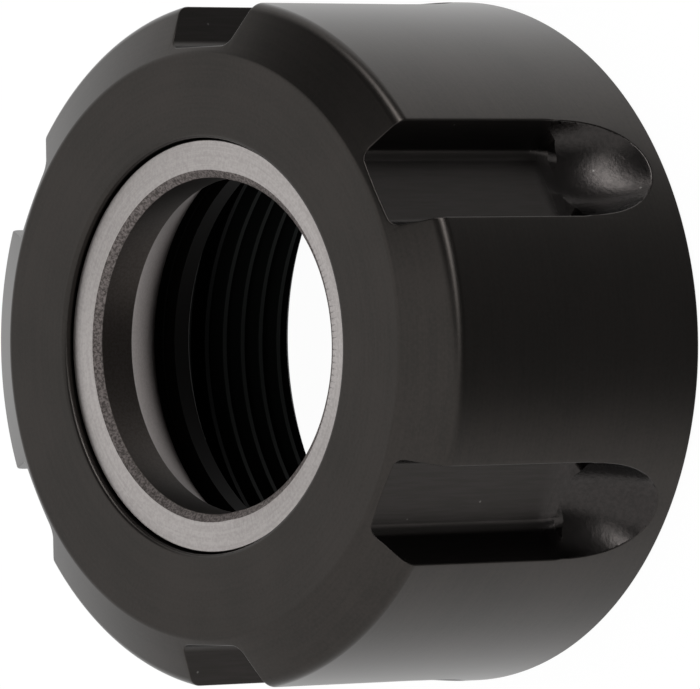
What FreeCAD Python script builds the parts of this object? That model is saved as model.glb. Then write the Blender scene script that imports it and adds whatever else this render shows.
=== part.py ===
import FreeCAD, Part
import math
import os

import Sketcher

# Collet nut with a ball-bearing thrust ring, in millimetres.
# The nut stands on its back face: the axis is +Z, the origin is the centre of the back face,
# and the nose that the tool comes out of is at the top.

# Driving sizes: name, value, what it measures.
SIZES = (
    ("body_radius", 21.0, "outside of the nut"),
    ("nut_length", 22.0, "back face to nose face"),
    ("nose_chamfer_depth", 1.86, "axial depth of the chamfer round the nose"),
    ("nose_chamfer_angle", 30.0, "degrees between that chamfer and the nose face"),
    ("shoulder_round", 1.05, "rounding where the chamfer meets the outside"),
    ("face_round", 0.6, "rounding where the chamfer meets the nose face"),
    ("back_chamfer", 0.4, "outer edge of the back face"),
    ("nose_overlap", 2.0, "how far the nose wall reaches in over the ring's flange"),
    ("nose_bore_chamfer", 0.4, "front edge of that hole"),
    ("nose_lip_length", 2.6, "nose wall that keeps the ring in"),
    ("seat_radius", 15.0, "bore that holds the ring's flange and the balls"),
    ("seat_length", 7.3, "length of that bore"),
    ("relief_depth", 1.11, "run-out groove ahead of the thread, below the thread's crests"),
    ("relief_length", 2.5, "length of the run-out groove"),
    ("thread_minor_radius", 15.19, "crests of the internal M32 x 1.5 thread"),
    ("entry_chamfer", 1.4, "lead-in at the back of the thread"),
    ("slot_count", 6, "spanner slots"),
    ("slot_floor_radius", 18.15, "nut axis to slot floor"),
    ("slot_floor_width", 5.0, "width of the slot floor"),
    ("slot_wall_angle", 19.0, "degrees that each slot wall leans out"),
    ("slot_corner_round", 0.7, "rounding between slot floor and slot walls"),
    ("slot_straight_length", 13.6, "nose face to the start of the slot's run-out"),
    ("cutter_radius", 9.75, "wheel that leaves the slot's run-out"),
    ("cutter_crown_radius", 3.45, "rounding across that wheel's rim"),
    ("ring_recess", 0.57, "ring face below the nose face"),
    ("collar_gap", 0.48, "open gap round the ring's collar"),
    ("ring_mouth_width", 0.5, "radial width of the chamfer at the ring's mouth"),
    ("ring_mouth_depth", 0.37, "axial depth of that chamfer"),
    ("relief_floor_depth", 1.8, "nose face to the floor of the off-centre relief in that mouth"),
    ("relief_step", 0.1, "how much smaller that relief is than the ring's hole"),
    ("relief_offset", 0.7, "how far that relief is off centre, towards -Y"),
    ("cone_start_depth", 3.36, "nose face to the start of the collet seat cone"),
    ("cone_half_angle", 30.0, "degrees between the seat cone and the axis"),
    ("cone_width", 2.15, "radial width of the seat cone, from the tool's hole outwards"),
    ("cone_step", 0.3, "step from the wide end of the seat cone out to the pocket"),
    ("flange_wall", 2.27, "ring wall between the flange's outside and the collet's pocket"),
    ("pocket_length", 1.0, "length of the pocket that the collet's head lies in"),
    ("lip_reach", 0.4, "how much smaller the off-centre hole in the lip is than the pocket"),
    ("lip_offset", 0.65, "how far that hole is off centre, towards -Y"),
    ("lip_thickness", 1.5, "extraction lip, front to back"),
    ("lip_chamfer", 0.35, "back edge of the off-centre hole"),
    ("flange_chamfer", 0.3, "outer edges of the ring's flange"),
    ("flange_clearance", 0.08, "running gap between flange and seat bore"),
    ("thrust_gap", 0.15, "gap between flange and nose wall"),
    ("ball_count", 30, "bearing balls, a full ring of them"),
    ("ball_depth", 5.0, "nose face to the plane of the balls"),
    ("ball_play", 0.1275, "gap between neighbouring balls, which leaves them 3.0 across"),
    ("track_clearance", 0.03, "gap between a ball and its track"),
    ("filler_clearance", 0.1, "room round a ball in the plugged hole that it is loaded through"),
)

# Sizes that follow from the driving ones, written as sheet expressions.
NOSE_CHAMFER_WIDTH = "Sizes.nose_chamfer_depth / tan(Sizes.nose_chamfer_angle * 1 deg)"
NOSE_FACE_RADIUS = f"(Sizes.body_radius - {NOSE_CHAMFER_WIDTH})"
CHAMFER_FOOT_Z = "(Sizes.nut_length - Sizes.nose_chamfer_depth)"
NOSE_WALL_Z = "(Sizes.nut_length - Sizes.nose_lip_length)"
SEAT_END_Z = f"({NOSE_WALL_Z} - Sizes.seat_length)"
RELIEF_END_Z = f"({SEAT_END_Z} - Sizes.relief_length)"
ENTRY_RADIUS = "(Sizes.thread_minor_radius + Sizes.entry_chamfer)"
RELIEF_RADIUS = "(Sizes.thread_minor_radius + Sizes.relief_depth)"
NOSE_BORE_RADIUS = "(Sizes.seat_radius - Sizes.nose_overlap)"

FLANGE_RADIUS = "(Sizes.seat_radius - Sizes.flange_clearance)"
PITCH_RADIUS = "(Sizes.seat_radius - Sizes.flange_clearance / 2)"
BALL_Z = "(Sizes.nut_length - Sizes.ball_depth)"
BALL_RADIUS = f"({PITCH_RADIUS} * sin(180 deg / Sizes.ball_count) - Sizes.ball_play / 2)"
TRACK_RADIUS = f"({BALL_RADIUS} + Sizes.track_clearance)"
FILLER_RADIUS = f"({BALL_RADIUS} + Sizes.filler_clearance)"

COLLAR_RADIUS = f"({NOSE_BORE_RADIUS} - Sizes.collar_gap)"
POCKET_RADIUS = f"({FLANGE_RADIUS} - Sizes.flange_wall)"
CONE_END_RADIUS = f"({POCKET_RADIUS} - Sizes.cone_step)"
RING_BORE_RADIUS = f"({CONE_END_RADIUS} - Sizes.cone_width)"
LIP_BORE_RADIUS = f"({POCKET_RADIUS} - Sizes.lip_reach)"
RING_FACE_Z = "(Sizes.nut_length - Sizes.ring_recess)"
FLANGE_TOP_Z = f"({NOSE_WALL_Z} - Sizes.thrust_gap)"
CONE_START_Z = "(Sizes.nut_length - Sizes.cone_start_depth)"
CONE_LENGTH = "Sizes.cone_width / tan(Sizes.cone_half_angle * 1 deg)"
CONE_END_Z = f"({CONE_START_Z} - {CONE_LENGTH})"
LIP_TOP_Z = f"({CONE_END_Z} - Sizes.pocket_length)"
RING_BACK_Z = f"({LIP_TOP_Z} - Sizes.lip_thickness)"

# Stock that the off-centre boring takes out of the lip at its thickest side.
BORING_ALLOWANCE = 0.5
# How far a cutting profile runs past the surface that it cuts.
OVERRUN = 1.0

doc = FreeCAD.newDocument("ColletNut")
sheet = doc.addObject("Spreadsheet::Sheet", "Sizes")
for row, (alias, value, note) in enumerate(SIZES, start=1):
    sheet.set(f"A{row}", alias)
    sheet.set(f"B{row}", str(value))
    sheet.set(f"C{row}", note)
    sheet.setAlias(f"B{row}", alias)
doc.recompute()


def value_of(expression):
    """Number that a sheet expression gives now."""
    result = sheet.evalExpression(expression)
    return float(getattr(result, "Value", result))


def new_body(name):
    body = doc.addObject("PartDesign::Body", name)
    body.Label = name
    return body


def origin_feature(body, role):
    return next(item for item in body.Origin.OriginFeatures if item.Role == role)


def new_sketch(body, name, plane, height=None):
    """Sketch on one of the body's own planes, lifted by an expression where one is given."""
    sketch = body.newObject("Sketcher::SketchObject", name)
    sketch.AttachmentSupport = (origin_feature(body, plane), [""])
    sketch.MapMode = "FlatFace"
    if height is not None:
        sketch.setExpression("AttachmentOffset.Base.z", height)
    return sketch


def bind(sketch, constraint, expression):
    """Add a dimension and tie it to the sheet."""
    index = sketch.addConstraint(constraint)
    sketch.setExpression(f"Constraints[{index}]", expression)


def place_point(sketch, geometry, point, across, along):
    """Dimension a point from the sketch origin; a zero coordinate puts it on the axis."""
    if across == "0":
        sketch.addConstraint(Sketcher.Constraint("PointOnObject", geometry, point, -2))
    else:
        bind(sketch, Sketcher.Constraint("DistanceX", -1, 1, geometry, point, value_of(across)), across)
    if along == "0":
        sketch.addConstraint(Sketcher.Constraint("PointOnObject", geometry, point, -1))
    else:
        bind(sketch, Sketcher.Constraint("DistanceY", -1, 1, geometry, point, value_of(along)), along)


def arc_middle(start, end, radius):
    """Middle of the short arc that bulges to the right of the way from start to end."""
    chord = end - start
    left = FreeCAD.Vector(-chord.y, chord.x, 0).normalize()
    rise = radius - math.sqrt(radius**2 - (chord.Length / 2) ** 2)
    return (start + end) * 0.5 - left * rise


def draw_outline(sketch, corners):
    """Closed outline, counter-clockwise through corners given as pairs of expressions.

    A third expression on a corner is the radius of an arc from there to the next corner.
    """
    points = [FreeCAD.Vector(value_of(corner[0]), value_of(corner[1]), 0) for corner in corners]
    count = len(points)
    for index, (_, _, *radius) in enumerate(corners):
        start = points[index]
        end = points[(index + 1) % count]
        if radius:
            sketch.addGeometry(Part.Arc(start, arc_middle(start, end, value_of(radius[0])), end))
        else:
            sketch.addGeometry(Part.LineSegment(start, end))
    for index in range(count):
        sketch.addConstraint(Sketcher.Constraint("Coincident", index, 2, (index + 1) % count, 1))
    for index, (x, y, *radius) in enumerate(corners):
        place_point(sketch, index, 1, x, y)
        if radius:
            bind(sketch, Sketcher.Constraint("Radius", index, value_of(radius[0])), radius[0])


def draw_circle(sketch, across, along, radius):
    centre = FreeCAD.Vector(value_of(across), value_of(along), 0)
    circle = sketch.addGeometry(Part.Circle(centre, FreeCAD.Vector(0, 0, 1), value_of(radius)))
    place_point(sketch, circle, 3, across, along)
    bind(sketch, Sketcher.Constraint("Radius", circle, value_of(radius)), radius)


def turn(body, kind, name, sketch, axis="V_Axis", angle=360.0, backwards=False):
    """Revolution or groove of a sketch about one of its axes."""
    feature = body.newObject(f"PartDesign::{kind}", name)
    feature.Profile = sketch
    feature.ReferenceAxis = (sketch, [axis])
    feature.Angle = angle
    feature.Reversed = backwards
    doc.recompute()
    return feature


def pocket(body, name, sketch, length):
    """Cut a sketch away, against its plane's normal."""
    feature = body.newObject("PartDesign::Pocket", name)
    feature.Profile = sketch
    feature.setExpression("Length", length)
    doc.recompute()
    return feature


def ring_edge(feature, radius, height):
    """Name of the circular edge about the axis with this radius and height."""
    for index, edge in enumerate(feature.Shape.Edges, start=1):
        curve = edge.Curve
        if not isinstance(curve, Part.Circle):
            continue
        if abs(curve.Radius - value_of(radius)) < 1e-4 and abs(curve.Center.z - value_of(height)) < 1e-4:
            return f"Edge{index}"
    raise RuntimeError(f"no edge of radius {radius} at {height}")


def dress(body, kind, name, base, edge, length):
    """Fillet or chamfer on one edge of the feature before."""
    feature = body.newObject(f"PartDesign::{kind}", name)
    feature.Base = (base, [edge])
    feature.setExpression("Radius" if kind == "Fillet" else "Size", length)
    doc.recompute()
    return feature


def cut_ball_track(body):
    """Half-round groove that the balls run in, the same circle in the nut and in the ring."""
    track = new_sketch(body, "track_section", "XZ_Plane")
    draw_circle(track, PITCH_RADIUS, BALL_Z, TRACK_RADIUS)
    return turn(body, "Groove", "ball_track", track)


def make_nut_body():
    """Turned steel nut: nose wall, ring seat, ball track, thread bore and milled slots."""
    body = new_body("nut_body")
    section = new_sketch(body, "turned_section", "XZ_Plane")
    draw_outline(
        section,
        (
            (ENTRY_RADIUS, "0"),
            ("Sizes.body_radius - Sizes.back_chamfer", "0"),
            ("Sizes.body_radius", "Sizes.back_chamfer"),
            ("Sizes.body_radius", CHAMFER_FOOT_Z),
            (NOSE_FACE_RADIUS, "Sizes.nut_length"),
            (f"{NOSE_BORE_RADIUS} + Sizes.nose_bore_chamfer", "Sizes.nut_length"),
            (NOSE_BORE_RADIUS, "Sizes.nut_length - Sizes.nose_bore_chamfer"),
            (NOSE_BORE_RADIUS, NOSE_WALL_Z),
            ("Sizes.seat_radius", NOSE_WALL_Z),
            ("Sizes.seat_radius", SEAT_END_Z),
            (RELIEF_RADIUS, SEAT_END_Z),
            (RELIEF_RADIUS, RELIEF_END_Z),
            ("Sizes.thread_minor_radius", RELIEF_END_Z),
            ("Sizes.thread_minor_radius", "Sizes.entry_chamfer"),
        ),
    )
    turned = turn(body, "Revolution", "turned_blank", section)
    shoulder = ring_edge(turned, "Sizes.body_radius", CHAMFER_FOOT_Z)
    rounded = dress(body, "Fillet", "shoulder_fillet", turned, shoulder, "Sizes.shoulder_round")
    face_edge = ring_edge(rounded, NOSE_FACE_RADIUS, "Sizes.nut_length")
    dress(body, "Fillet", "face_fillet", rounded, face_edge, "Sizes.face_round")
    cut_ball_track(body)
    cut_slots(body)
    hole = new_sketch(body, "filler_section", "XZ_Plane")
    draw_circle(hole, "0", BALL_Z, FILLER_RADIUS)
    body.Tip = pocket(body, "filler_hole", hole, f"Sizes.body_radius + {OVERRUN}")
    return body


def cut_slots(body):
    """One spanner slot, open at the nose and run out by the cutter, then copied round the nut."""
    rim_x = f"(Sizes.body_radius + {OVERRUN})"
    flare = f"({rim_x} - Sizes.slot_floor_radius) * tan(Sizes.slot_wall_angle * 1 deg)"
    floor_y = "Sizes.slot_floor_width / 2"
    rim_y = f"{floor_y} + {flare}"
    set_back = "Sizes.slot_corner_round * tan((90 - Sizes.slot_wall_angle) / 2 * 1 deg)"
    flat_y = f"({floor_y} - {set_back})"
    wall_x = f"Sizes.slot_floor_radius + {set_back} * cos(Sizes.slot_wall_angle * 1 deg)"
    wall_y = f"({floor_y} + {set_back} * sin(Sizes.slot_wall_angle * 1 deg))"
    section = new_sketch(body, "slot_section", "XY_Plane", "Sizes.nut_length")
    draw_outline(
        section,
        (
            ("Sizes.slot_floor_radius", flat_y),
            ("Sizes.slot_floor_radius", f"-{flat_y}", "Sizes.slot_corner_round"),
            (wall_x, f"-{wall_y}"),
            (rim_x, f"-({rim_y})"),
            (rim_x, rim_y),
            (wall_x, wall_y, "Sizes.slot_corner_round"),
        ),
    )
    straight = pocket(body, "slot", section, "Sizes.slot_straight_length")
    run_out = turn(body, "Groove", "slot_run_out", draw_cutter(body), "Axis0", 90.0, backwards=True)
    pattern = body.newObject("PartDesign::PolarPattern", "slots")
    pattern.Originals = [straight, run_out]
    pattern.Axis = (origin_feature(body, "Z_Axis"), [""])
    pattern.Angle = 360.0
    pattern.setExpression("Occurrences", "Sizes.slot_count")
    body.Tip = pattern
    doc.recompute()


def draw_cutter(body):
    """Half-round rim of the slot cutter, and the cutter's axis, where the slot's floor ends."""
    height = "Sizes.nut_length - Sizes.slot_straight_length"
    crown_x = "Sizes.slot_floor_radius + Sizes.cutter_crown_radius"
    axle_x = "Sizes.slot_floor_radius + Sizes.cutter_radius"
    sketch = new_sketch(body, "cutter_section", "XY_Plane", height)
    centre = FreeCAD.Vector(value_of(crown_x), 0, 0)
    crown = value_of("Sizes.cutter_crown_radius")
    up = FreeCAD.Vector(0, crown, 0)
    circle = Part.Circle(centre, FreeCAD.Vector(0, 0, 1), crown)
    sketch.addGeometry(Part.ArcOfCircle(circle, math.pi / 2, math.pi * 3 / 2))
    sketch.addGeometry(Part.LineSegment(centre - up, centre + up))
    place_point(sketch, 0, 3, crown_x, "0")
    bind(sketch, Sketcher.Constraint("Radius", 0, crown), "Sizes.cutter_crown_radius")
    sketch.addConstraint(Sketcher.Constraint("Coincident", 0, 2, 1, 1))
    sketch.addConstraint(Sketcher.Constraint("Coincident", 0, 1, 1, 2))
    sketch.addConstraint(Sketcher.Constraint("Vertical", 1))
    sketch.addConstraint(Sketcher.Constraint("PointOnObject", 0, 3, 1))
    axle = FreeCAD.Vector(value_of(axle_x), 0, 0)
    sketch.addGeometry(Part.LineSegment(axle - up, axle + up), True)
    place_point(sketch, 2, 1, axle_x, "-Sizes.cutter_crown_radius")
    place_point(sketch, 2, 2, axle_x, "Sizes.cutter_crown_radius")
    return sketch


def make_thrust_ring():
    """Hardened ring that the collet pushes on: collar, flange, seat cone, off-centre lip and relief."""
    body = new_body("thrust_ring")
    lip_x = f"{LIP_BORE_RADIUS} - Sizes.lip_offset - {BORING_ALLOWANCE}"
    section = new_sketch(body, "turned_section", "XZ_Plane")
    draw_outline(
        section,
        (
            (RING_BORE_RADIUS, CONE_START_Z),
            (CONE_END_RADIUS, CONE_END_Z),
            (POCKET_RADIUS, CONE_END_Z),
            (POCKET_RADIUS, LIP_TOP_Z),
            (lip_x, LIP_TOP_Z),
            (lip_x, RING_BACK_Z),
            (f"{FLANGE_RADIUS} - Sizes.flange_chamfer", RING_BACK_Z),
            (FLANGE_RADIUS, f"{RING_BACK_Z} + Sizes.flange_chamfer"),
            (FLANGE_RADIUS, f"{FLANGE_TOP_Z} - Sizes.flange_chamfer"),
            (f"{FLANGE_RADIUS} - Sizes.flange_chamfer", FLANGE_TOP_Z),
            (COLLAR_RADIUS, FLANGE_TOP_Z),
            (COLLAR_RADIUS, RING_FACE_Z),
            (f"{RING_BORE_RADIUS} + Sizes.ring_mouth_width", RING_FACE_Z),
            (RING_BORE_RADIUS, f"{RING_FACE_Z} - Sizes.ring_mouth_depth"),
        ),
    )
    turn(body, "Revolution", "turned_blank", section)
    cut_ball_track(body)
    hole = new_sketch(body, "lip_section", "XY_Plane", LIP_TOP_Z)
    draw_circle(hole, "0", "-Sizes.lip_offset", LIP_BORE_RADIUS)
    bored = pocket(body, "lip_bore", hole, f"Sizes.lip_thickness + {OVERRUN}")
    back_edge = ring_edge(bored, LIP_BORE_RADIUS, RING_BACK_Z)
    dress(body, "Chamfer", "lip_lead_in", bored, back_edge, "Sizes.lip_chamfer")
    body.Tip = turn(body, "Groove", "mouth_relief", draw_relief(body), "Axis0")
    return body


def draw_relief(body):
    """Section of the relief that lets a tilted collet in, and its axis, off centre the same way as the lip."""
    sketch = new_sketch(body, "relief_section", "YZ_Plane")
    axis_y = "-Sizes.relief_offset"
    floor_z = "(Sizes.nut_length - Sizes.relief_floor_depth)"
    wall_y = f"({RING_BORE_RADIUS} - Sizes.relief_step - Sizes.relief_offset)"
    flare = f"{OVERRUN} * Sizes.ring_mouth_width / Sizes.ring_mouth_depth"
    draw_outline(
        sketch,
        (
            (axis_y, floor_z),
            (wall_y, floor_z),
            (wall_y, f"{RING_FACE_Z} - Sizes.ring_mouth_depth"),
            (f"{wall_y} + Sizes.ring_mouth_width + {flare}", f"{RING_FACE_Z} + {OVERRUN}"),
            (axis_y, f"{RING_FACE_Z} + {OVERRUN}"),
        ),
    )
    foot = FreeCAD.Vector(value_of(axis_y), 0, 0)
    top = FreeCAD.Vector(value_of(axis_y), value_of("Sizes.nut_length"), 0)
    sketch.addGeometry(Part.LineSegment(foot, top), True)
    place_point(sketch, 5, 1, axis_y, "0")
    place_point(sketch, 5, 2, axis_y, "Sizes.nut_length")
    return sketch


def make_balls():
    """Full ring of balls, with just enough play for them to roll."""
    balls = []
    for index in range(round(value_of("Sizes.ball_count"))):
        name = f"ball_{index + 1:02d}"
        ball = doc.addObject("Part::Sphere", name)
        ball.Label = name
        ball.setExpression("Radius", BALL_RADIUS)
        turned = f"{index} * 360 deg / Sizes.ball_count"
        ball.setExpression("Placement.Base.x", f"{PITCH_RADIUS} * cos({turned})")
        ball.setExpression("Placement.Base.y", f"{PITCH_RADIUS} * sin({turned})")
        ball.setExpression("Placement.Base.z", BALL_Z)
        balls.append(ball)
    return balls


def make_filler_plug():
    """Pin that closes the loading hole, flush outside and completing the track inside."""
    pin = doc.addObject("Part::Cylinder", "plug_bar")
    pin.setExpression("Radius", FILLER_RADIUS)
    pin.setExpression("Height", f"Sizes.body_radius + {OVERRUN}")
    pin.Placement.Rotation = FreeCAD.Rotation(FreeCAD.Vector(1, 0, 0), -90)
    pin.setExpression("Placement.Base.z", BALL_Z)
    outside = doc.addObject("Part::Cylinder", "plug_outside")
    outside.setExpression("Radius", "Sizes.body_radius")
    outside.setExpression("Height", "Sizes.nut_length")
    inside = doc.addObject("Part::Cylinder", "plug_inside")
    inside.setExpression("Radius", "Sizes.seat_radius")
    inside.setExpression("Height", "Sizes.nut_length")
    wall = doc.addObject("Part::Cut", "plug_wall")
    wall.Base = outside
    wall.Tool = inside
    blank = doc.addObject("Part::Common", "plug_blank")
    blank.Base = pin
    blank.Tool = wall
    track = doc.addObject("Part::Torus", "plug_track")
    track.setExpression("Radius1", PITCH_RADIUS)
    track.setExpression("Radius2", TRACK_RADIUS)
    track.setExpression("Placement.Base.z", BALL_Z)
    plug = doc.addObject("Part::Cut", "filler_plug")
    plug.Label = "filler_plug"
    plug.Base = blank
    plug.Tool = track
    return plug


nodes = [make_nut_body(), make_thrust_ring(), make_filler_plug(), *make_balls()]
doc.recompute()

for item in doc.Objects:
    if "Invalid" in item.State or "Error" in item.State:
        raise RuntimeError(f"{item.Label} did not compute: {item.State}")
for node in nodes:
    if node.Shape.isNull() or not node.Shape.isValid() or len(node.Shape.Solids) != 1:
        raise RuntimeError(f"{node.Label} is not one valid solid")

os.makedirs("parts", exist_ok=True)
for node in nodes:
    node.Shape.exportStep(f"parts/{node.Label}.step")
    print(f"{node.Label}: {node.Shape.Volume:.2f} mm3")
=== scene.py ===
import math

import bpy
from mathutils import Matrix, Vector


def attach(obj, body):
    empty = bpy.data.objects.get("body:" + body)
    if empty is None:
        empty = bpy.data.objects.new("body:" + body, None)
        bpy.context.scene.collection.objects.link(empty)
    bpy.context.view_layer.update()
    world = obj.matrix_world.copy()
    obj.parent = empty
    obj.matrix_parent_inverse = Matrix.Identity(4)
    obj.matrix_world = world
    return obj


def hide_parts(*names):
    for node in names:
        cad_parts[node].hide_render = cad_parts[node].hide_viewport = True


# Ball-bearing collet nut, dressed for the render.
# Pieces are modelled in millimetres, axis along Z, back face at zero, and scaled to metres when finished.

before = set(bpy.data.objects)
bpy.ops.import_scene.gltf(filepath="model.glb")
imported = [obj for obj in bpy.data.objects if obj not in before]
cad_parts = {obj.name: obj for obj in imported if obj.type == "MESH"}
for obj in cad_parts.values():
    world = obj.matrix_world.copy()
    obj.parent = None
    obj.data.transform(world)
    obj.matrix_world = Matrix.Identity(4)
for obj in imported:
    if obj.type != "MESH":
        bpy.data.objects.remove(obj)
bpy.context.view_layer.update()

MM = 0.001
TURN = math.tau

# Driving sizes of the nut in millimetres, as in the part. Only its nose bore lies closer round the ring.
BODY_RADIUS = 21.0
NUT_LENGTH = 22.0
BACK_CHAMFER = 0.4
CHAMFER_DEPTH = 1.86
SHOULDER_ROUND = 1.05
NOSE_FACE_RADIUS = 17.778
NOSE_ROUND = 0.6
COLLAR_GAP = 0.12
NOSE_WALL_LENGTH = 2.6
SEAT_RADIUS = 15.0
SEAT_LENGTH = 7.3
RELIEF_DEPTH = 1.11
RELIEF_LENGTH = 2.5
THREAD_MINOR = 15.19
THREAD_MAJOR = 16.0
THREAD_PITCH = 1.5
ENTRY_CHAMFER = 1.4
SLOT_COUNT = 6
SLOT_FLOOR = 18.15
SLOT_WIDTH = 5.0
SLOT_LEAN = math.radians(19)
SLOT_CORNER = 0.7
SLOT_LENGTH = 13.6
CUTTER_RADIUS = 9.75
CUTTER_CROWN = 3.45
FILLER_RADIUS = 1.6

# Driving sizes of the ring and its bearing
RING_RECESS = 0.57
RING_BORE = 10.2
MOUTH_WIDTH = 0.5
MOUTH_DEPTH = 0.37
MOUTH_RELIEF = 10.1
MOUTH_OFFSET = 0.7
RELIEF_FLOOR_DEPTH = 1.8
COLLAR_RADIUS = 12.52
CONE_DEPTH = 3.36
CONE_END = 14.916
CONE_END_RADIUS = 12.35
POCKET_RADIUS = 12.65
POCKET_LENGTH = 1.0
LIP_THICKNESS = 1.5
LIP_BORE = 12.25
LIP_OFFSET = 0.65
LIP_LEAD = 0.35
FLANGE_CLEARANCE = 0.08
FLANGE_CHAMFER = 0.3
THRUST_GAP = 0.15
BALL_DEPTH = 5.0
TRACK_RADIUS = 1.53

# Sizes that follow from them: heights above the back face, and radii
CHAMFER_FOOT = NUT_LENGTH - CHAMFER_DEPTH
NOSE_BORE_RADIUS = COLLAR_RADIUS + COLLAR_GAP
NOSE_WALL = NUT_LENGTH - NOSE_WALL_LENGTH
SEAT_END = NOSE_WALL - SEAT_LENGTH
RELIEF_END = SEAT_END - RELIEF_LENGTH
RELIEF_RADIUS = THREAD_MINOR + RELIEF_DEPTH
ENTRY_RADIUS = THREAD_MINOR + ENTRY_CHAMFER
SLOT_END = NUT_LENGTH - SLOT_LENGTH
RING_FACE = NUT_LENGTH - RING_RECESS
MOUTH_FOOT = RING_FACE - MOUTH_DEPTH
RELIEF_FLOOR = NUT_LENGTH - RELIEF_FLOOR_DEPTH
CONE_TOP = NUT_LENGTH - CONE_DEPTH
LIP_TOP = CONE_END - POCKET_LENGTH
RING_BACK = LIP_TOP - LIP_THICKNESS
FLANGE_RADIUS = SEAT_RADIUS - FLANGE_CLEARANCE
FLANGE_TOP = NOSE_WALL - THRUST_GAP
BALL_PLANE = NUT_LENGTH - BALL_DEPTH
PITCH_RADIUS = SEAT_RADIUS - FLANGE_CLEARANCE / 2

# Details that the part leaves out: broken edges and fine rounds
EDGE_BREAK = 0.08
SMALL_ROUND = 0.1
BACK_ROUND = 0.12
NOSE_BORE_ROUND = 0.3
SEAT_ROUND = 0.06
MOUTH_ROUND = 0.05
# Height of a thread root on the +X side, as the photo shows it.
THREAD_PHASE = 0.955
# The end of a straight slot sweeps up and in over this length, by this much at its last point.
END_SWEEP = 1.5
END_LIFT = 0.18
END_NARROWING = 0.25
# Then it falls steeply: how much further down, and the lift and narrowing that it ends with.
END_FALL = 0.45
FALL_LIFT = 0.8
FALL_NARROWING = 0.85

# Cutters reach past the outside, and run past what they cut.
REACH = 23.0
OVERRUN = 0.5
# Stock that the off-centre boring takes out of the lip at its thickest side.
BORING_ALLOWANCE = 0.5

# Fineness of the meshes
SPIN_STEPS = 360
ROUND_STEPS = 6
# A ball track is an arc that runs this many degrees to both sides, to where it meets its wall.
TRACK_SWEEP = 88.5
TRACK_STEPS = 16
THREAD_STEPS = 180
THREAD_TURNS = 8
END_STEPS = 5
CUTTER_SIDES = 180
CROWN_SIDES = 64
CROWN_STEPS = 48
# A face counts as facing along an axis when its normal has this much of it.
FACING = 0.9
SHARP_ANGLE = math.radians(25)
SMOOTH_ANGLE = math.radians(40)


# Mesh tools
def deselect():
    bpy.ops.object.select_all(action="DESELECT")


def edit(piece):
    """Open one piece in edit mode with nothing selected."""
    deselect()
    bpy.context.view_layer.objects.active = piece
    piece.select_set(True)
    bpy.ops.object.mode_set(mode="EDIT")
    bpy.ops.mesh.select_all(action="DESELECT")


def close():
    bpy.ops.object.mode_set(mode="OBJECT")


def pick(piece, kind, test):
    """Select the vertices, edges or faces of an edited piece that pass a test."""
    bpy.ops.mesh.select_mode(type={"vertices": "VERT", "edges": "EDGE", "polygons": "FACE"}[kind])
    bpy.ops.mesh.select_all(action="DESELECT")
    close()
    for part in getattr(piece.data, kind):
        part.select = bool(test(part))
    bpy.ops.object.mode_set(mode="EDIT")


def selected_edges(piece):
    """Numbers of the edges selected in edit mode."""
    close()
    found = {edge.index for edge in piece.data.edges if edge.select}
    bpy.ops.object.mode_set(mode="EDIT")
    return found


def edge_ends(piece, edge):
    """Places of the two ends of an edge."""
    return [piece.data.vertices[number].co for number in edge.vertices]


def draw_outline(name, corners, closed=True):
    """Outline in the XZ plane, extruded corner by corner from one vertex; a third number rounds a corner."""
    deselect()
    points = with_rounds(corners)
    x, z = points[0]
    bpy.ops.mesh.primitive_plane_add(size=1, location=(x, 0, z))
    piece = bpy.context.object
    piece.name = piece.data.name = name
    bpy.ops.object.transform_apply(location=True)
    bpy.ops.object.mode_set(mode="EDIT")
    bpy.ops.mesh.select_mode(type="VERT")
    bpy.ops.mesh.merge(type="CENTER")
    for next_x, next_z in points[1:]:
        bpy.ops.mesh.extrude_region_move(TRANSFORM_OT_translate={"value": (next_x - x, 0, next_z - z)})
        x, z = next_x, next_z
    if closed:
        last = len(points) - 1
        pick(piece, "vertices", lambda vertex: vertex.index in (0, last))
        bpy.ops.mesh.edge_face_add()
    return piece


def with_rounds(corners):
    """Corners of an outline, with an arc of points in place of each one that has a radius."""
    points = []
    for index, corner in enumerate(corners):
        here = Vector(corner[:2])
        if len(corner) == 2:
            points.append(tuple(here))
            continue
        before = (Vector(corners[index - 1][:2]) - here).normalized()
        after = (Vector(corners[(index + 1) % len(corners)][:2]) - here).normalized()
        half = before.angle(after) / 2
        centre = here + (before + after).normalized() * corner[2] / math.sin(half)
        start = here + before * corner[2] / math.tan(half) - centre
        end = here + after * corner[2] / math.tan(half) - centre
        sweep = start.angle_signed(end)
        for step in range(ROUND_STEPS + 1):
            turned = start.copy()
            turned.rotate(Matrix.Rotation(-sweep * step / ROUND_STEPS, 2))
            points.append(tuple(centre + turned))
    return points


def ball_track(start, end):
    """Corners along a ball track, between two angles in degrees from +X towards +Z."""
    angles = [math.radians(start + (end - start) * index / TRACK_STEPS) for index in range(TRACK_STEPS + 1)]
    return [
        (PITCH_RADIUS + TRACK_RADIUS * math.cos(angle), BALL_PLANE + TRACK_RADIUS * math.sin(angle))
        for angle in angles
    ]


def spin_round(piece):
    """Spin an outline about the axis, and close it where it comes round."""
    bpy.ops.mesh.select_all(action="SELECT")
    bpy.ops.mesh.spin(steps=SPIN_STEPS, angle=TURN, center=(0, 0, 0), axis=(0, 0, 1))
    bpy.ops.mesh.select_all(action="SELECT")
    bpy.ops.mesh.remove_doubles(threshold=1e-4)
    bpy.ops.mesh.normals_make_consistent(inside=False)
    close()


def cut(piece, cutter):
    """Cut one piece with another, which is used up; the cut keeps the cutter's material."""
    deselect()
    bpy.context.view_layer.objects.active = piece
    modifier = piece.modifiers.new("cut", "BOOLEAN")
    modifier.operation = "DIFFERENCE"
    modifier.solver = "EXACT"
    modifier.material_mode = "TRANSFER"
    modifier.object = cutter
    bpy.ops.object.modifier_apply(modifier=modifier.name)
    bpy.data.objects.remove(cutter)


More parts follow.
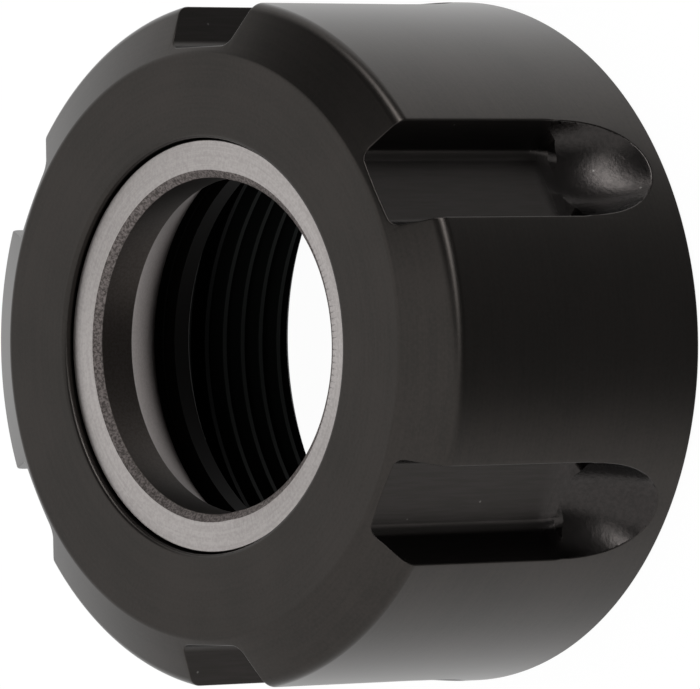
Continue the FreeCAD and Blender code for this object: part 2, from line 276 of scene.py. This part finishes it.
def copies_round(piece, count):
    """Repeat a cutter about the axis and join the copies to it."""
    deselect()
    found = [piece]
    for index in range(1, count):
        copy = piece.copy()
        copy.data = piece.data.copy()
        bpy.context.collection.objects.link(copy)
        copy.matrix_world = Matrix.Rotation(TURN * index / count, 4, "Z") @ piece.matrix_world
        found.append(copy)
    for item in found:
        item.select_set(True)
    bpy.context.view_layer.objects.active = piece
    bpy.ops.object.join()
    bpy.ops.object.transform_apply()
    return piece


def clean(piece, threshold):
    """Merge points that all but touch, and dissolve faces that are left without an area."""
    edit(piece)
    bpy.ops.mesh.select_all(action="SELECT")
    bpy.ops.mesh.remove_doubles(threshold=threshold)
    bpy.ops.mesh.dissolve_degenerate(threshold=threshold)
    close()


def break_edges(piece, width, angle):
    """Bevel the sharp edges round what the cutters took out.

    Points that lie close together on the outside are merged first, because a bevel folds over on them.
    """
    rim = set()
    for face in piece.data.polygons:
        if face.material_index > 0:
            rim.update(face.vertices)
    edit(piece)
    outside = BODY_RADIUS - 0.01
    pick(piece, "vertices", lambda vertex: vertex.index in rim and vertex.co.xy.length > outside)
    bpy.ops.mesh.remove_doubles(threshold=width / 2)
    close()
    sides = {}
    for face in piece.data.polygons:
        for key in face.edge_keys:
            sides.setdefault(key, []).append((face.material_index, face.normal.copy()))
    sharp = set()
    for edge in piece.data.edges:
        (first, one), (second, other) = sides[edge.key]
        if first != second and one.angle(other, 0) > angle:
            sharp.add(edge.index)
    edit(piece)
    pick(piece, "edges", lambda edge: edge.index in sharp)
    bpy.ops.mesh.bevel(offset=width, segments=2, affect="EDGES", clamp_overlap=False)
    close()


def finish_piece(piece, body, slot, *nodes):
    """Smooth normals by face size, bring the piece to metres, hang it under its body's empty and hide the
    parts that it replaces.
    """
    deselect()
    bpy.context.view_layer.objects.active = piece
    piece.select_set(True)
    bpy.ops.object.shade_smooth_by_angle(angle=SMOOTH_ANGLE)
    weigh = piece.modifiers.new("weigh", "WEIGHTED_NORMAL")
    weigh.keep_sharp = True
    bpy.ops.object.modifier_apply(modifier=weigh.name)
    piece.scale = (MM, MM, MM)
    bpy.ops.object.transform_apply(scale=True)
    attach(piece, body)
    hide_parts(*nodes)


# Cutters
def slot_cutter(material):
    """Straight part of the spanner slots, walls leaning out, open at the nose."""
    deselect()
    bpy.ops.mesh.primitive_cube_add(size=1, location=(0, 0, 0))
    piece = bpy.context.object
    edit(piece)
    bpy.ops.mesh.select_all(action="SELECT")
    depth = REACH - SLOT_FLOOR
    height = SLOT_LENGTH + 2 * OVERRUN
    bpy.ops.transform.resize(value=(depth, SLOT_WIDTH, height))
    bpy.ops.transform.translate(value=((REACH + SLOT_FLOOR) / 2, 0, SLOT_END + height / 2))
    pick(piece, "polygons", lambda face: face.normal.x > FACING)
    width = SLOT_WIDTH + 2 * depth * math.tan(SLOT_LEAN)
    bpy.ops.transform.resize(value=(1, width / SLOT_WIDTH, 1))

    def is_floor_corner(edge):
        one, other = edge_ends(piece, edge)
        return max(one.x, other.x) < SLOT_FLOOR + 0.1 and abs(one.z - other.z) > 1

    pick(piece, "edges", is_floor_corner)
    set_back = SLOT_CORNER * math.tan((math.pi / 2 - SLOT_LEAN) / 2)
    bpy.ops.mesh.bevel(offset=set_back, segments=6, affect="EDGES", clamp_overlap=False)
    pick(piece, "polygons", lambda face: face.normal.z < -FACING)
    # The end first sweeps up gently, then falls steeply to a last face that is lost in the run-out.
    shares = [step / END_STEPS for step in range(END_STEPS + 1)]
    sweep = [(END_SWEEP * share, END_LIFT * share**2, END_NARROWING * share**2) for share in shares]
    sweep.append((END_SWEEP + END_FALL, FALL_LIFT, FALL_NARROWING))
    for (drop, lift, narrow), (next_drop, next_lift, next_narrow) in zip(sweep, sweep[1:]):
        shallower = (depth - next_lift) / (depth - lift)
        narrower = (SLOT_WIDTH / 2 - next_narrow) / (SLOT_WIDTH / 2 - narrow)
        bpy.ops.mesh.extrude_region_move(TRANSFORM_OT_translate={"value": (0, 0, drop - next_drop)})
        bpy.ops.transform.resize(value=(shallower, narrower, 1), center_override=(REACH, 0, SLOT_END))
    close()
    piece.data.materials.append(material)
    return copies_round(piece, SLOT_COUNT)


def run_out_cutter(material):
    """Half-round rim of the slot cutter, swung down out of the slots."""
    deselect()
    axle = SLOT_FLOOR + CUTTER_RADIUS
    start = math.radians(-8)
    swing = math.radians(88)
    bpy.ops.mesh.primitive_circle_add(
        vertices=CROWN_SIDES,
        radius=CUTTER_CROWN,
        fill_type="NGON",
        location=(SLOT_FLOOR + CUTTER_CROWN, 0, SLOT_END),
    )
    piece = bpy.context.object
    bpy.ops.object.transform_apply()
    bpy.ops.object.mode_set(mode="EDIT")
    bpy.ops.mesh.select_all(action="SELECT")
    bpy.ops.transform.rotate(value=start, orient_axis="Y", center_override=(axle, 0, SLOT_END))
    bpy.ops.mesh.spin(steps=CROWN_STEPS, angle=swing, center=(axle, 0, SLOT_END), axis=(0, 1, 0))
    bpy.ops.mesh.select_all(action="SELECT")
    bpy.ops.mesh.normals_make_consistent(inside=False)
    close()
    piece.data.materials.append(material)
    return copies_round(piece, SLOT_COUNT)


def thread_tap():
    """Solid tap for the right-hand thread, its tooth flared where it breaks the edge of each crest."""
    deselect()
    # The tap's lowest turn starts two pitches down, in the open behind the back face.
    start = THREAD_PHASE - 2 * THREAD_PITCH
    flank = math.tan(math.radians(30))
    blunt = 0.03
    root = THREAD_PITCH / 16 + 0.005
    neck = root + (THREAD_MAJOR - THREAD_MINOR - EDGE_BREAK) * flank
    # Half a tooth, from the tap's core out: radius and half width.
    tooth = [
        (THREAD_MINOR - 0.3, THREAD_PITCH / 2),
        (THREAD_MINOR - 0.04, neck + EDGE_BREAK + blunt),
        (THREAD_MINOR + EDGE_BREAK, neck),
        (THREAD_MAJOR - blunt, root + blunt * flank),
        (THREAD_MAJOR, root - blunt),
    ]
    section = [(x, start - z) for x, z in tooth] + [(x, start + z) for x, z in reversed(tooth)]
    piece = draw_outline("thread_tap", section, closed=False)
    close()
    screw = piece.modifiers.new("screw", "SCREW")
    screw.axis = "Z"
    screw.steps = screw.render_steps = THREAD_STEPS
    screw.iterations = THREAD_TURNS
    screw.screw_offset = THREAD_PITCH
    screw.use_merge_vertices = False
    bpy.ops.object.modifier_apply(modifier=screw.name)
    edit(piece)
    bpy.ops.mesh.select_all(action="SELECT")
    bpy.ops.mesh.remove_doubles(threshold=1e-3)
    middle = start + THREAD_PITCH * THREAD_TURNS / 2
    # Both ends are closed with a point on the axis.
    for side in (-1, 1):
        bpy.ops.mesh.select_mode(type="EDGE")
        bpy.ops.mesh.select_all(action="DESELECT")
        bpy.ops.mesh.select_non_manifold()
        rim = selected_edges(piece)

        def is_end(edge):
            return edge.index in rim and (edge_ends(piece, edge)[0].z - middle) * side > 0

        pick(piece, "edges", is_end)
        bpy.ops.mesh.extrude_edges_move()
        bpy.ops.mesh.merge(type="CENTER")
        bpy.ops.transform.translate(value=(0, 0, side * 2 * OVERRUN))
    bpy.ops.mesh.select_all(action="SELECT")
    bpy.ops.mesh.normals_make_consistent(inside=False)
    close()
    return piece


def round_cutter(name, radius, depth, place, turned=(0, 0, 0)):
    """Plain round cutter."""
    deselect()
    bpy.ops.mesh.primitive_cylinder_add(
        vertices=CUTTER_SIDES, radius=radius, depth=depth, location=place, rotation=turned
    )
    piece = bpy.context.object
    piece.name = name
    bpy.ops.object.transform_apply()
    return piece


def filler_cutter(material):
    """Drill for the hole that the balls are loaded through, from the seat out to +Y."""
    depth = 8
    place = (0, SEAT_RADIUS + depth / 2, BALL_PLANE)
    piece = round_cutter("filler_cutter", FILLER_RADIUS, depth, place, (math.radians(90), 0, 0))
    piece.data.materials.append(material)
    return piece


def lip_cutter():
    """Off-centre boring bar, flared for the lead-in at the back of the lip."""
    low = RING_BACK + LIP_LEAD
    height = LIP_TOP + 0.02 - low
    piece = round_cutter("lip_cutter", LIP_BORE, height, (0, -LIP_OFFSET, low + height / 2))
    edit(piece)
    pick(piece, "polygons", lambda face: face.normal.z < -FACING)
    flare = (LIP_BORE + LIP_LEAD + OVERRUN) / LIP_BORE
    bpy.ops.mesh.extrude_region_move(TRANSFORM_OT_translate={"value": (0, 0, -LIP_LEAD - OVERRUN)})
    bpy.ops.transform.resize(value=(flare, flare, 1), center_override=(0, -LIP_OFFSET, 0))
    close()
    return piece


def mouth_cutter():
    """Off-centre relief in the ring's mouth, flared like the mouth's chamfer."""
    height = MOUTH_FOOT - RELIEF_FLOOR
    piece = round_cutter("mouth_cutter", MOUTH_RELIEF, height, (0, -MOUTH_OFFSET, RELIEF_FLOOR + height / 2))
    edit(piece)
    pick(piece, "polygons", lambda face: face.normal.z > FACING)
    flare = (MOUTH_RELIEF + 2 * MOUTH_WIDTH) / MOUTH_RELIEF
    bpy.ops.mesh.extrude_region_move(TRANSFORM_OT_translate={"value": (0, 0, 2 * MOUTH_DEPTH)})
    bpy.ops.transform.resize(value=(flare, flare, 1), center_override=(0, -MOUTH_OFFSET, 0))
    close()
    return piece


# Material tools
# A Mix node has its colours at inputs 6 and 7 and output 2, and its plain values at 2 and 3.
COLOURS = {"data_type": "RGBA"}
SMOOTH = {"interpolation_type": "SMOOTHSTEP"}


def colour(code):
    """Linear colour from an sRGB hex code."""
    parts = [int(code[place : place + 2], 16) / 255 for place in (0, 2, 4)]
    return (*[part / 12.92 if part <= 0.04045 else ((part + 0.055) / 1.055) ** 2.4 for part in parts], 1)


def add(tree, kind, inputs=None, output=0, **settings):
    """New node, set and linked: an input is a value or another node's output. Gives one of its outputs."""
    made = tree.nodes.new("ShaderNode" + kind)
    for name, value in settings.items():
        setattr(made, name, value)
    for key, value in (inputs or {}).items():
        if isinstance(value, bpy.types.NodeSocket):
            tree.links.new(value, made.inputs[key])
        else:
            made.inputs[key].default_value = value
    return made.outputs[output]


def new_metal(name, roughness):
    """Material with a Principled node that is all metal."""
    material = bpy.data.materials.new(name)
    material.use_nodes = True
    shader = material.node_tree.nodes["Principled BSDF"]
    shader.inputs["Metallic"].default_value = 1
    shader.inputs["Roughness"].default_value = roughness
    return material, material.node_tree, shader


def place_mm(tree):
    """Where a point lies on the part, in millimetres."""
    point = add(tree, "TexCoord", output="Object")
    return add(tree, "VectorMath", {0: point, "Scale": 1 / MM}, operation="SCALE")


def from_axis(tree, place):
    """How far a place is from the axis."""
    flat = add(tree, "VectorMath", {0: place, 1: (1, 1, 0)}, operation="MULTIPLY")
    return add(tree, "VectorMath", {0: flat}, "Value", operation="LENGTH")


def marks_round(tree, place, radius, pitch):
    """Tool marks that run round the axis: quick across the marks, slow along them."""
    along = 0.12
    squeezed = add(tree, "VectorMath", {0: place, 1: (along, along, 1 / pitch)}, operation="MULTIPLY")
    across = add(tree, "Math", {0: radius, 1: 1 / pitch}, operation="MULTIPLY")
    settings = {"Vector": squeezed, "W": across, "Scale": 1, "Detail": 3, "Roughness": 0.6}
    return add(tree, "TexNoise", settings, noise_dimensions="4D")


def make_turned_oxide():
    """Black oxide on turned steel: nearly black, satin, with the studio's tent in it at a flat angle."""
    material, tree, shader = new_metal("turned_oxide", 0.3)
    place = place_mm(tree)
    radius = from_axis(tree, place)
    # Turning feed is about 0.1 mm; drawn at 0.16 mm, since finer marks would be lost between pixels.
    marks = marks_round(tree, place, radius, 0.16)
    # The oxide is clouded over 5 mm, with a grain of 0.2 mm.
    clouds = add(tree, "TexNoise", {"Vector": place, "Scale": 0.22, "Detail": 3})
    grain = add(tree, "TexNoise", {"Vector": place, "Scale": 5, "Detail": 2})
    mottle = add(tree, "Math", {0: clouds, 1: grain}, operation="ADD")
    tone = add(tree, "MapRange", {"Value": mottle, "From Min": 0.7, "From Max": 1.3}, **SMOOTH)
    base = add(tree, "Mix", {0: tone, 6: colour("353331"), 7: colour("3A3735")}, 2, **COLOURS)
    # The crests of the marks are rubbed a little lighter.
    worn = {"Value": marks, "From Min": 0.35, "From Max": 0.65, "To Max": 0.15}
    streak = add(tree, "MapRange", worn, **SMOOTH)
    streaked = add(tree, "Mix", {0: streak, 6: base, 7: colour("45403D")}, 2, **COLOURS)
    # The oxide in the thread is duller, and painted darker there as painted shade inside the bore.
    walls = {"Value": radius, "From Min": RELIEF_RADIUS + 0.6, "From Max": RELIEF_RADIUS + 0.2}
    inside = add(tree, "MapRange", walls, **SMOOTH)
    height = add(tree, "SeparateXYZ", {0: place}, "Z")
    depths = {"Value": height, "From Min": SEAT_END + 0.9, "From Max": SEAT_END - 0.1}
    deep = add(tree, "MapRange", depths, **SMOOTH)
    in_thread = add(tree, "Math", {0: inside, 1: deep}, operation="MULTIPLY")
    # The painted shade deepens towards the relief groove, under the ring.
    turns = {"Value": height, "From Min": RELIEF_END - 3, "From Max": RELIEF_END - 1.4}
    shade_deepens = add(tree, "MapRange", turns, **SMOOTH)
    thread_shade = add(tree, "Mix", {0: shade_deepens, 6: colour("1A1C1B"), 7: colour("070808")}, 2, **COLOURS)
    # Painted shade over the thread, in place of the turned tone.
    thread_shaded = add(tree, "Mix", {0: in_thread, 6: streaked, 7: thread_shade}, 2, **COLOURS)
    tree.links.new(thread_shaded, shader.inputs["Base Color"])
    tree.links.new(add(tree, "Mix", {0: in_thread, 2: 0.3, 3: 0.7}), shader.inputs["Roughness"])
    fine = add(tree, "Bump", {"Height": grain, "Distance": 0.0015 * MM})
    grooved = add(tree, "Bump", {"Height": marks, "Distance": 0.0015 * MM, "Normal": fine})
    tree.links.new(grooved, shader.inputs["Normal"])
    return material


def make_milled_oxide():
    """Black oxide on milled steel: darker, streaked along the slots, pitted but smoother in the run-outs."""
    material, tree, shader = new_metal("milled_oxide", 0.36)
    place = place_mm(tree)
    height = add(tree, "SeparateXYZ", {0: place}, "Z")
    # The run-out's surface takes over across these heights.
    bowl_start = SLOT_END + 0.6
    bowl_end = SLOT_END - 1.4
    heights = {"Value": height, "From Min": bowl_start, "From Max": bowl_end}
    bowl = add(tree, "MapRange", heights, **SMOOTH)
    # Milling streaks are 0.17 mm wide and some 3 mm long, pits 0.3 mm.
    lengthwise = add(tree, "VectorMath", {0: place, 1: (6, 6, 0.35)}, operation="MULTIPLY")
    streaks = add(tree, "TexNoise", {"Vector": lengthwise, "Scale": 1, "Detail": 3})
    pits = add(tree, "TexNoise", {"Vector": place, "Scale": 3.6, "Detail": 4, "Roughness": 0.65})
    streak = add(tree, "MapRange", {"Value": streaks, "From Min": 0.35, "From Max": 0.65}, **SMOOTH)
    floor_tone = add(tree, "Mix", {0: streak, 6: colour("302E2C"), 7: colour("343130")}, 2, **COLOURS)
    pit = add(tree, "MapRange", {"Value": pits, "From Min": 0.3, "From Max": 0.7}, **SMOOTH)
    bowl_tone = add(tree, "Mix", {0: pit, 6: colour("343231"), 7: colour("3C3938")}, 2, **COLOURS)
    tone = add(tree, "Mix", {0: bowl, 6: floor_tone, 7: bowl_tone}, 2, **COLOURS)
    # Dust that clings in the slots: specks of about 0.1 mm, a few to the square centimetre.
    cells = add(tree, "TexVoronoi", {"Vector": place, "Scale": 0.6, "Randomness": 1}, "Distance")
    speck = add(tree, "MapRange", {"Value": cells, "From Min": 0.06, "From Max": 0.03}, **SMOOTH)
    dusty = add(tree, "Mix", {0: speck, 6: tone, 7: colour("5C5A58")}, 2, **COLOURS)
    tree.links.new(dusty, shader.inputs["Base Color"])
    along = add(tree, "Bump", {"Height": streaks, "Distance": 0.0015 * MM})
    pitted = {"Height": pits, "Strength": bowl, "Distance": 0.015 * MM, "Normal": along}
    tree.links.new(add(tree, "Bump", pitted), shader.inputs["Normal"])
    smoother = {**heights, "To Min": 0.34, "To Max": 0.25}
    tree.links.new(add(tree, "MapRange", smoother, **SMOOTH), shader.inputs["Roughness"])
    return material


def make_ground_steel():
    """Bright ground steel: the round grinding draws its reflections out into brighter and darker lobes."""
    material, tree, shader = new_metal("ground_steel", 0.45)
    place = place_mm(tree)
    # Grinding marks are finer than a pixel; drawn at 0.12 mm so that the face keeps its grain.
    marks = marks_round(tree, place, from_axis(tree, place), 0.12)
    grain = add(tree, "TexNoise", {"Vector": place, "Scale": 6, "Detail": 2})
    mottle = add(tree, "Math", {0: marks, 1: grain}, operation="ADD")
    tone = add(tree, "MapRange", {"Value": mottle, "From Min": 0.7, "From Max": 1.3}, **SMOOTH)
    base = add(tree, "Mix", {0: tone, 6: colour("A6A19F"), 7: colour("B6B1AF")}, 2, **COLOURS)
    tree.links.new(base, shader.inputs["Base Color"])
    grooved = add(tree, "Bump", {"Height": marks, "Distance": 0.0008 * MM})
    tree.links.new(grooved, shader.inputs["Normal"])
    shader.inputs["Anisotropic"].default_value = 0.85
    tree.links.new(add(tree, "Tangent", direction_type="RADIAL", axis="Z"), shader.inputs["Tangent"])
    return material


def make_hardened_steel():
    """Hardened steel as the furnace and the turning tool left it: brownish grey, mottled, the seat ground."""
    material, tree, shader = new_metal("hardened_steel", 0.38)
    place = place_mm(tree)
    radius = from_axis(tree, place)
    marks = marks_round(tree, place, radius, 0.14)
    # Spots of furnace scale are 0.17 mm across.
    scale_spots = add(tree, "TexNoise", {"Vector": place, "Scale": 6, "Detail": 3, "Roughness": 0.7})
    spots = add(tree, "MapRange", {"Value": scale_spots, "From Min": 0.38, "From Max": 0.62}, **SMOOTH)
    mouth = add(tree, "Mix", {0: spots, 6: colour("4F4A48"), 7: colour("7D7674")}, 2, **COLOURS)
    wall = add(tree, "Mix", {0: spots, 6: colour("3B3633"), 7: colour("433E3B")}, 2, **COLOURS)
    seat = add(tree, "Mix", {0: spots, 6: colour("77716F"), 7: colour("847D7B")}, 2, **COLOURS)
    height = add(tree, "SeparateXYZ", {0: place}, "Z")
    chamfer = {"Value": height, "From Min": MOUTH_FOOT - 0.05, "From Max": MOUTH_FOOT + 0.05}
    at_mouth = add(tree, "MapRange", chamfer, **SMOOTH)
    front = add(tree, "Mix", {0: at_mouth, 6: wall, 7: mouth}, 2, **COLOURS)
    bore_end = {"Value": height, "From Min": CONE_TOP + 0.06, "From Max": CONE_TOP - 0.02}
    below_bore = add(tree, "MapRange", bore_end, **SMOOTH)
    pocket = {"Value": height, "From Min": CONE_END - 0.02, "From Max": CONE_END + 0.02}
    above_pocket = add(tree, "MapRange", pocket, **SMOOTH)
    on_seat = add(tree, "Math", {0: below_bore, 1: above_pocket}, operation="MULTIPLY")
    inner = add(tree, "Mix", {0: on_seat, 6: front, 7: seat}, 2, **COLOURS)
    # The outside of the collar, the pocket and the lip behind it are painted near black, as painted shade in
    # the gap round the collar and behind the lip, and made rougher.
    collar = {"Value": radius, "From Min": COLLAR_RADIUS - 0.12, "From Max": COLLAR_RADIUS - 0.06}
    outer = add(tree, "MapRange", collar, **SMOOTH)
    lip = {"Value": height, "From Min": LIP_TOP + 0.1, "From Max": LIP_TOP - 0.02}
    behind = add(tree, "MapRange", lip, **SMOOTH)
    shaded_recess = add(tree, "Math", {0: outer, 1: behind}, operation="MAXIMUM")
    # Painted shade: these faces are coloured near black.
    base = add(tree, "Mix", {0: shaded_recess, 6: inner, 7: colour("100F0E")}, 2, **COLOURS)
    tree.links.new(base, shader.inputs["Base Color"])
    spotted = add(tree, "Bump", {"Height": scale_spots, "Strength": at_mouth, "Distance": 0.03 * MM})
    grooved = add(tree, "Bump", {"Height": marks, "Distance": 0.002 * MM, "Normal": spotted})
    tree.links.new(grooved, shader.inputs["Normal"])
    rough_mouth = add(tree, "MapRange", {**chamfer, "To Min": 0.38, "To Max": 0.6}, **SMOOTH)
    tree.links.new(add(tree, "Mix", {0: shaded_recess, 2: rough_mouth, 3: 0.7}), shader.inputs["Roughness"])
    return material


def make_bearing_steel():
    """Polished bearing steel: mirror-bright, with a haze so faint that only its tone wanders."""
    material, tree, shader = new_metal("bearing_steel", 0.08)
    haze = add(tree, "TexNoise", {"Vector": place_mm(tree), "Scale": 3, "Detail": 2})
    base = add(tree, "Mix", {0: haze, 6: colour("CFCFD1"), 7: colour("DCDCDE")}, 2, **COLOURS)
    tree.links.new(base, shader.inputs["Base Color"])
    return material


# Pieces
def model_nut(turned, milled):
    """Nut body: spun, then cut for the slots, their run-outs, the plugged hole and the thread."""
    nut = draw_outline(
        "nut_shell",
        [
            (ENTRY_RADIUS, 0, EDGE_BREAK),
            (BODY_RADIUS - BACK_CHAMFER, 0, SMALL_ROUND),
            (BODY_RADIUS, BACK_CHAMFER, BACK_ROUND),
            (BODY_RADIUS, CHAMFER_FOOT, SHOULDER_ROUND),
            (NOSE_FACE_RADIUS, NUT_LENGTH, NOSE_ROUND),
            (NOSE_BORE_RADIUS, NUT_LENGTH, NOSE_BORE_ROUND),
            (NOSE_BORE_RADIUS, NOSE_WALL, SMALL_ROUND),
            (SEAT_RADIUS, NOSE_WALL),
            *ball_track(TRACK_SWEEP, -TRACK_SWEEP),
            (SEAT_RADIUS, SEAT_END, SEAT_ROUND),
            (RELIEF_RADIUS, SEAT_END),
            (RELIEF_RADIUS, RELIEF_END),
            (THREAD_MINOR, RELIEF_END),
            (THREAD_MINOR, ENTRY_CHAMFER),
        ],
    )
    spin_round(nut)
    nut.data.materials.append(turned)
    cut(nut, slot_cutter(milled))
    cut(nut, run_out_cutter(milled))
    cut(nut, filler_cutter(milled))
    cut(nut, thread_tap())
    clean(nut, threshold=0.004)
    break_edges(nut, EDGE_BREAK, SHARP_ANGLE)
    clean(nut, threshold=0.0005)
    finish_piece(nut, "nut", "black_oxide_steel", "nut_body")


def model_ring(hardened, ground):
    """Thrust ring: spun, then bored off centre at the lip and at the mouth, its face ground bright."""
    ring = draw_outline(
        "ring_shell",
        [
            (RING_BORE, CONE_TOP, SMALL_ROUND),
            (CONE_END_RADIUS, CONE_END),
            (POCKET_RADIUS, CONE_END),
            (POCKET_RADIUS, LIP_TOP, SMALL_ROUND),
            (LIP_BORE - LIP_OFFSET - BORING_ALLOWANCE, LIP_TOP),
            (LIP_BORE - LIP_OFFSET - BORING_ALLOWANCE, RING_BACK),
            (FLANGE_RADIUS - FLANGE_CHAMFER, RING_BACK, EDGE_BREAK),
            (FLANGE_RADIUS, RING_BACK + FLANGE_CHAMFER, EDGE_BREAK),
            *ball_track(180 + TRACK_SWEEP, 180 - TRACK_SWEEP),
            (FLANGE_RADIUS, FLANGE_TOP - FLANGE_CHAMFER),
            (FLANGE_RADIUS - FLANGE_CHAMFER, FLANGE_TOP),
            (COLLAR_RADIUS, FLANGE_TOP),
            (COLLAR_RADIUS, RING_FACE, EDGE_BREAK),
            (RING_BORE + MOUTH_WIDTH, RING_FACE, MOUTH_ROUND),
            (RING_BORE, MOUTH_FOOT, SMALL_ROUND),
        ],
    )
    spin_round(ring)
    ring.data.materials.append(hardened)
    cut(ring, lip_cutter())
    cut(ring, mouth_cutter())
    clean(ring, threshold=0.01)
    ring.data.materials.append(ground)
    inner_rim = RING_BORE + MOUTH_WIDTH - 0.02
    for face in ring.data.polygons:
        if face.center.z > RING_FACE - 0.1 and face.center.xy.length > inner_rim:
            face.material_index = 1
    finish_piece(ring, "ring", "ground_steel", "thrust_ring")


def dress_frame_pieces(turned, polished):
    """Balls and filler plug stay as the frame brings them, each with its material."""
    for name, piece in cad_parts.items():
        if name.startswith("ball_") or name == "filler_plug":
            piece.data.materials.clear()
            piece.data.materials.append(polished if name.startswith("ball_") else turned)


# Surroundings
def lay_floor():
    """White paper: to the camera it glows and keeps a faint shadow. Reflections see past it."""
    deselect()
    gap = 0.02 * MM
    bpy.ops.mesh.primitive_plane_add(size=3, location=(0, 0, -gap))
    floor = bpy.context.object
    floor.name = "floor"
    floor.visible_glossy = False
    paper = bpy.data.materials.new("white_paper")
    paper.use_nodes = True
    tree = paper.node_tree
    tree.nodes.remove(tree.nodes["Principled BSDF"])
    shadowed = add(tree, "BsdfDiffuse", {"Color": (0.04, 0.04, 0.04, 1)})
    glow = add(tree, "Emission", {"Color": (1, 1, 1, 1), "Strength": 0.97})
    seen = add(tree, "AddShader", {0: shadowed, 1: glow})
    plain = add(tree, "BsdfDiffuse", {"Color": colour("E6E6E4")})
    to_camera = add(tree, "LightPath", output="Is Camera Ray")
    mixed = add(tree, "MixShader", {0: to_camera, 1: plain, 2: seen})
    tree.links.new(mixed, tree.nodes["Material Output"].inputs["Surface"])
    floor.data.materials.append(paper)


def place_camera():
    """Long lens above the nose on the -Y side, fitted to the rims in the photo, whose top is towards +X."""
    tilt = math.radians(47.7584)
    roll = math.radians(-1.0443)
    target = Vector((-0.06362, -0.85833, 10.55477))
    distance = 647.820
    camera_data = bpy.data.cameras.new("camera")
    camera = bpy.data.objects.new("camera", camera_data)
    bpy.context.collection.objects.link(camera)
    back = Vector((0, -math.sin(tilt), math.cos(tilt)))
    level = Vector((0, -math.cos(tilt), -math.sin(tilt)))
    rise = Vector((1, 0, 0))
    right = math.cos(roll) * level + math.sin(roll) * rise
    up = math.cos(roll) * rise - math.sin(roll) * level
    place = target + distance * back
    camera.matrix_world = Matrix.Translation(place * MM) @ Matrix((right, up, back)).transposed().to_4x4()
    camera_data.lens = 543.942
    camera_data.clip_start = 0.01
    bpy.context.scene.camera = camera


def light_studio():
    """Even white tent all round. Only reflections also show its dark side, with a strip lamp in it."""
    # The dark side is in front of the nut, towards the photo's top and right.
    to_camera = (0, -0.74, 0.672)
    to_top_right = (1, -0.336, -0.37)
    dark_strength = 0.15
    # The strip lies just above the horizon and is brightest in this direction.
    to_lamp = (0.766, -0.643, 0)
    lamp_focus = 4
    lamp_strength = 7.5
    # The tent is a little brighter towards the object's +X side.
    tent_gain = 0.22
    world = bpy.data.worlds.new("studio")
    bpy.context.scene.world = world
    world.use_nodes = True
    tree = world.node_tree
    way = add(tree, "TexCoord", output="Generated")
    fronts = add(tree, "VectorMath", {0: way, 1: to_camera}, "Value", operation="DOT_PRODUCT")
    sides = add(tree, "VectorMath", {0: way, 1: to_top_right}, "Value", operation="DOT_PRODUCT")
    front = add(tree, "MapRange", {"Value": fronts, "From Min": -0.3, "From Max": -0.08}, **SMOOTH)
    side = add(tree, "MapRange", {"Value": sides, "From Min": -0.12, "From Max": 0.28}, **SMOOTH)
    dark = add(tree, "Math", {0: front, 1: side}, operation="MULTIPLY")
    height = add(tree, "SeparateXYZ", {0: way}, "Z")
    lower_edge = add(tree, "MapRange", {"Value": height, "From Min": -0.04, "From Max": 0.14}, **SMOOTH)
    upper_edge = add(tree, "MapRange", {"Value": height, "From Min": 0.38, "From Max": 0.18}, **SMOOTH)
    strip = add(tree, "Math", {0: lower_edge, 1: upper_edge}, operation="MULTIPLY")
    facings = add(tree, "VectorMath", {0: way, 1: to_lamp}, "Value", operation="DOT_PRODUCT")
    facing = add(tree, "Math", {0: facings, 1: 0}, operation="MAXIMUM")
    lamp = add(tree, "Math", {0: facing, 1: lamp_focus}, operation="POWER")
    strip_light = add(tree, "Math", {0: strip, 1: lamp}, operation="MULTIPLY")
    levels = {0: strip_light, 1: lamp_strength, 2: dark_strength}
    dark_level = add(tree, "Math", levels, operation="MULTIPLY_ADD")
    along = add(tree, "SeparateXYZ", {0: way}, "X")
    upper = add(tree, "Math", {0: along, 1: 0}, operation="MAXIMUM")
    tent = add(tree, "Math", {0: upper, 1: tent_gain, 2: 1}, operation="MULTIPLY_ADD")
    level = add(tree, "Mix", {0: dark, 2: tent, 3: dark_level})
    mirrored = add(tree, "LightPath", output="Is Glossy Ray")
    strength = add(tree, "Mix", {0: mirrored, 2: 1.0, 3: level})
    background = tree.nodes["Background"]
    background.inputs["Color"].default_value = (1, 1, 1, 1)
    tree.links.new(strength, background.inputs["Strength"])


turned_oxide = make_turned_oxide()
milled_oxide = make_milled_oxide()
ground_steel = make_ground_steel()
hardened_steel = make_hardened_steel()
bearing_steel = make_bearing_steel()

model_nut(turned_oxide, milled_oxide)
model_ring(hardened_steel, ground_steel)
dress_frame_pieces(turned_oxide, bearing_steel)

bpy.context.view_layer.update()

lay_floor()
place_camera()
light_studio()
bpy.context.scene.view_settings.view_transform = "Standard"
